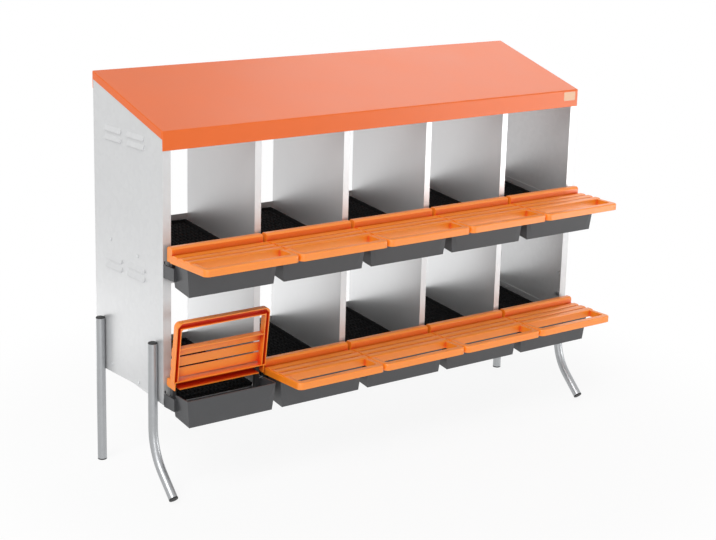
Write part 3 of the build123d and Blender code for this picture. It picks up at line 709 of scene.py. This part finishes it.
class NEST_OT_legs(bpy.types.Operator):
    """Bent leg tubes with caps and feet"""
    bl_idname = "nest.legs"
    bl_label = "Legs"

    def execute(self, context):
        detail = context.scene.nest_detail
        for end in ENDS:
            for place in ("front", "rear"):
                node = f"{end}_{place}_leg"
                low, high = (np.array(corner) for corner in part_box(node))
                points, lean = self.path(place, low, high, detail)
                self.tube(node, points, lean, (high[0] - low[0]) / 2, detail)
        add_piece("leg_top_caps", self.caps(), cap_rubber(), "root", ["leg_caps"])
        add_piece("rear_leg_feet", self.rear_feet(), cap_rubber(), "root", ["rear_feet"])
        add_piece("front_leg_feet", self.front_feet(), cap_rubber(), "root", ["front_feet"])
        return {"FINISHED"}

    def path(self, place, low, high, detail):
        """Axis of a leg and its lean: straight down, an arc of the bend radius, then straight on.

        The lean is 0, then grows with the arc's length over its radius, then stays at the splay.
        """
        straight, bent = 6, 25
        radius = (high[0] - low[0]) / 2
        x = (low[0] + high[0]) / 2
        if place == "rear":
            y = (low[1] + high[1]) / 2
            line = np.linspace((x, y, high[2]), (x, y, low[2]), 2 * straight)
            return line, np.zeros(len(line))
        y = high[1] - radius
        end_z = low[2] + radius * math.sin(SPLAY)
        end_y = low[1] + radius * math.cos(SPLAY)
        bend = detail.bend_radius
        drop, reach = bend * math.sin(SPLAY), bend * (1 - math.cos(SPLAY))
        bend_end = end_z + (y - reach - end_y) / math.tan(SPLAY)
        upper = np.linspace((y, high[2]), (y, bend_end + drop), straight)
        angle = np.linspace(0.0, SPLAY, bent + 1)[1:]
        arc = np.column_stack([y - bend * (1 - np.cos(angle)), bend_end + drop - bend * np.sin(angle)])
        lower = np.linspace((y - reach, bend_end), (end_y, end_z), straight + 1)[1:]
        line = np.concatenate([upper, arc, lower])
        lean = np.concatenate([np.zeros(straight), angle, np.full(straight, SPLAY)])
        return np.column_stack([np.full(len(line), x), line]), lean

    def tube(self, node, points, lean, radius, detail):
        """Rings of a circle square to the axis: outside down, inside up, joined at both ends."""
        angle = np.arange(SIDES) * 2 * np.pi / SIDES
        across = np.column_stack([np.zeros(len(lean)), np.cos(lean), -np.sin(lean)])[:, None]
        ring = np.cos(angle)[:, None] * np.array([1.0, 0, 0]) + np.sin(angle)[:, None] * across
        inside = radius - detail.tube_wall
        outer = points[:, None] + radius * ring
        inner = (points[:, None] + inside * ring)[::-1]
        rows = np.concatenate([outer, inner])
        travelled = np.concatenate([[0.0], np.cumsum(np.linalg.norm(np.diff(points, axis=0), axis=1))])
        travelled = np.concatenate([travelled, travelled[::-1]])
        uv = np.stack(np.broadcast_arrays(np.cos(angle) * 0.5, travelled[:, None]), -1).reshape(-1, 2)
        add_piece(node + "_tube", [ring_tube(rows)], zinc_tube(), "root", [node], uv=uv)

    def caps(self):
        """Low domes turned round each leg's axis, flush with the tube."""
        shells, round_off, crown, step = [], 0.003, 0.0002, 0.0003
        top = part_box("left_rear_leg")[1].z
        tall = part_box("leg_caps")[1].z - top
        for end in ENDS:
            for place in ("front", "rear"):
                box_low, box_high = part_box(f"{end}_{place}_leg")
                r = (box_high.x - box_low.x) / 2
                turn = QUARTER_TURN[::-1]
                radii = [POLE, 0.5 * r, *(r - round_off + round_off * np.cos(turn)), r, POLE]
                edge = tall - step - round_off + round_off * np.sin(turn)
                heights = [tall, tall - crown, *edge, 0, 0]
                centre = ((box_low.x + box_high.x) / 2, box_high.y - r, top)
                shells.append(placed(lathe(radii, heights, SIDES), Matrix.Translation(centre)))
        return shells

    def rear_feet(self):
        """Flat plugs turned round the rear legs' axis, with a rounded tread."""
        shells, tread, ease = [], 0.0012, 0.0004
        for end in ENDS:
            low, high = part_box(f"{end}_rear_leg")
            r = (high.x - low.x) / 2
            radii = [POLE, r - tread, r - ease, r, r, POLE]
            heights = [0.0, 0.0, ease, tread, low.z, low.z]
            centre = ((low.x + high.x) / 2, (low.y + high.y) / 2, 0.0)
            shells.append(placed(lathe(radii, heights, SIDES), Matrix.Translation(centre)))
        return shells

    def front_feet(self):
        """Plugs square to the splayed tube: circles carried along it, for their thickness or to the floor."""
        shells, thick, edge = [], 0.004, 0.0008
        angle = np.arange(SIDES)[:, None] * 2 * np.pi / SIDES
        axis = np.array([0.0, -math.sin(SPLAY), -math.cos(SPLAY)])
        across = np.array([0.0, math.cos(SPLAY), -math.sin(SPLAY)])
        for end in ENDS:
            low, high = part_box(f"{end}_front_leg")
            r = (high.x - low.x) / 2
            centre = np.array([(low.x + high.x) / 2, low.y, low.z])
            centre += r * np.array([0.0, math.cos(SPLAY), math.sin(SPLAY)])
            ring = centre + r * (np.cos(angle) * np.array([1.0, 0, 0]) + np.sin(angle) * across)
            run = np.minimum(ring[:, 2] / math.cos(SPLAY), thick)
            rows = np.stack([ring, ring + axis * (run - edge)[:, None], ring + axis * run[:, None]])
            middle = rows[-1].mean(0)
            rows[-1] = middle + (rows[-1] - middle) * (1 - edge / r)
            shells.append(loft(rows))
        return shells


class NEST_OT_fasteners(bpy.types.Operator):
    """Screws and bolts"""
    bl_idname = "nest.fasteners"
    bl_label = "Fasteners"

    def execute(self, context):
        edge = 0.0003
        for node in ("leg_bolts", "floor_screws", "back_screws", "roof_screws"):
            dress(node, zinc_plating(), edge)
        return {"FINISHED"}


class NEST_OT_stage(bpy.types.Operator):
    """Floor, light and camera"""
    bl_idname = "nest.stage"
    bl_label = "Stage"

    def execute(self, context):
        scene, stage = context.scene, context.scene.nest_stage
        self.floor()
        self.world(scene, stage)
        self.lights(stage)
        self.camera(scene, stage)
        scene.view_settings.view_transform = "Standard"
        return {"FINISHED"}

    def rays(self, port, factor):
        """The factor for rays of the camera, and 1 for rays of reflections and of glass."""
        camera, glossy, glass = (port.node("ShaderNodeLightPath", out=out)
                                 for out in ("Is Camera Ray", "Is Glossy Ray", "Is Transmission Ray"))
        return port.maths("MAXIMUM", camera * factor, port.maths("MAXIMUM", glossy, glass))

    def floor(self):
        """A flat square; it turns white away from the object, and keeps the shadow near it."""
        half_side, sunk, near, far_off, shaded = 12.0, 0.0003, 0.8, 1.5, 0.88
        corners = half_side * np.array([(-1, -1, 0), (1, -1, 0), (1, 1, 0), (-1, 1, 0)], float)
        corners[:, 2] = -sunk
        mesh = bpy.data.meshes.new("floor")
        mesh.from_pydata(corners.tolist(), [], [(0, 1, 2, 3)])
        material = bpy.data.materials.new("Pale floor")
        material.use_nodes = True
        tree = material.node_tree
        tree.nodes.clear()
        port = Port(tree)
        place = port.node("ShaderNodeTexCoord", out="Object")
        far = port.node("ShaderNodeVectorMath", {"operation": "LENGTH"}, {0: place}, "Value")
        away = port.node("ShaderNodeMapRange", {"interpolation_type": "SMOOTHSTEP"},
                         {0: far, 1: near, 2: far_off, 3: shaded, 4: 1.0})
        matt = port.node("ShaderNodeBsdfDiffuse", {}, {"Color": (0.86, 0.86, 0.86, 1)})
        white = port.node("ShaderNodeEmission", {}, {"Color": (1, 1, 1, 1), "Strength": 1.0})
        mixed = port.node("ShaderNodeMixShader", {}, {0: self.rays(port, away), 1: matt, 2: white})
        output = tree.nodes.new("ShaderNodeOutputMaterial")
        tree.links.new(mixed.socket, output.inputs["Surface"])
        mesh.materials.append(material)
        floor = bpy.data.objects.new("floor", mesh)
        bpy.context.scene.collection.objects.link(floor)

    def world(self, scene, stage):
        """A white surround for the camera and for reflections, and an even light for the rest."""
        world = bpy.data.worlds.new("Studio")
        world.use_nodes = True
        scene.world = world
        tree = world.node_tree
        port = Port(tree)
        strength = stage.sky + (1.0 - stage.sky) * self.rays(port, 1.0)
        back = tree.nodes["Background"]
        back.inputs["Color"].default_value = (1, 1, 1, 1)
        tree.links.new(strength.socket, back.inputs["Strength"])

    def lights(self, stage):
        """A soft key light from the upper left, and soft boxes that fill the bays and draw highlights."""
        sun = bpy.data.lights.new("Key", "SUN")
        sun.energy, sun.angle = stage.key, stage.key_spread
        self.aim(sun, self.towards(stage.key_azimuth, stage.key_height), Vector())
        for name, (size, place, target) in SOFT_BOXES.items():
            self.soft_box(name.title(), getattr(stage, name), size, place, target)

    def soft_box(self, name, power, size, place, target):
        """A rectangular lamp at a place, turned to a target."""
        area = bpy.data.lights.new(name, "AREA")
        area.energy, area.shape, (area.size, area.size_y) = power, "RECTANGLE", size
        self.aim(area, Vector(place) - Vector(target), Vector(place))

    def aim(self, light, direction, place):
        """Adds a lamp that shines against a direction."""
        lamp = bpy.data.objects.new(light.name, light)
        lamp.location = place
        lamp.rotation_mode = "QUATERNION"
        lamp.rotation_quaternion = direction.to_track_quat("Z", "Y")
        bpy.context.scene.collection.objects.link(lamp)

    def towards(self, azimuth, height):
        """The direction to a lamp or camera, turned from the front to the right and raised."""
        flat = math.cos(height)
        return Vector((math.sin(azimuth) * flat, -math.cos(azimuth) * flat, math.sin(height)))

    def camera(self, scene, stage):
        """A camera at the solved place, turned by azimuth, elevation and roll."""
        back = self.towards(stage.azimuth, stage.elevation)
        right = Vector((math.cos(stage.azimuth), math.sin(stage.azimuth), 0.0))
        up, r = back.cross(right), stage.roll
        place = Vector(stage.camera) + Vector((0.0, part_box("left_side_panel")[0].y, 0.0))
        side = math.cos(r) * right + math.sin(r) * up
        top = back.cross(side)
        data = bpy.data.cameras.new("Camera")
        data.lens, data.sensor_width = stage.lens, 36.0
        data.clip_end = 100.0
        camera = bpy.data.objects.new("Camera", data)
        camera.matrix_world = Matrix.Translation(place) @ Matrix((side, top, back)).transposed().to_4x4()
        bpy.context.scene.collection.objects.link(camera)
        scene.camera = camera


class NEST_PT_sidebar(bpy.types.Panel):
    """Lists the steps that dress the nest box"""
    bl_label = "Nest box"
    bl_idname = "NEST_PT_sidebar"
    bl_space_type = "VIEW_3D"
    bl_region_type = "UI"
    bl_category = "Nest box"

    def draw(self, context):
        for operator in OPERATORS:
            self.layout.operator(operator.bl_idname)
        for group in GROUPS:
            values = getattr(context.scene, group)
            box = self.layout.box()
            for name in values.__annotations__:
                box.prop(values, name)


GROUPS = {"nest_colours": NestColours, "nest_detail": NestDetail, "nest_stage": NestStage}
OPERATORS = (NEST_OT_roof, NEST_OT_cabinet, NEST_OT_trays, NEST_OT_lids, NEST_OT_mats, NEST_OT_legs,
             NEST_OT_fasteners, NEST_OT_stage)
CLASSES = (*GROUPS.values(), *OPERATORS, NEST_PT_sidebar)


def register():
    for item in CLASSES:
        bpy.utils.register_class(item)
    for name, group in GROUPS.items():
        setattr(bpy.types.Scene, name, PointerProperty(type=group))


def unregister():
    for name in GROUPS:
        delattr(bpy.types.Scene, name)
    for item in reversed(CLASSES):
        bpy.utils.unregister_class(item)


def main():
    register()
    for operator in OPERATORS:
        family, step = operator.bl_idname.split(".")
        getattr(getattr(bpy.ops, family), step)()


if __name__ == "__main__":
    main()
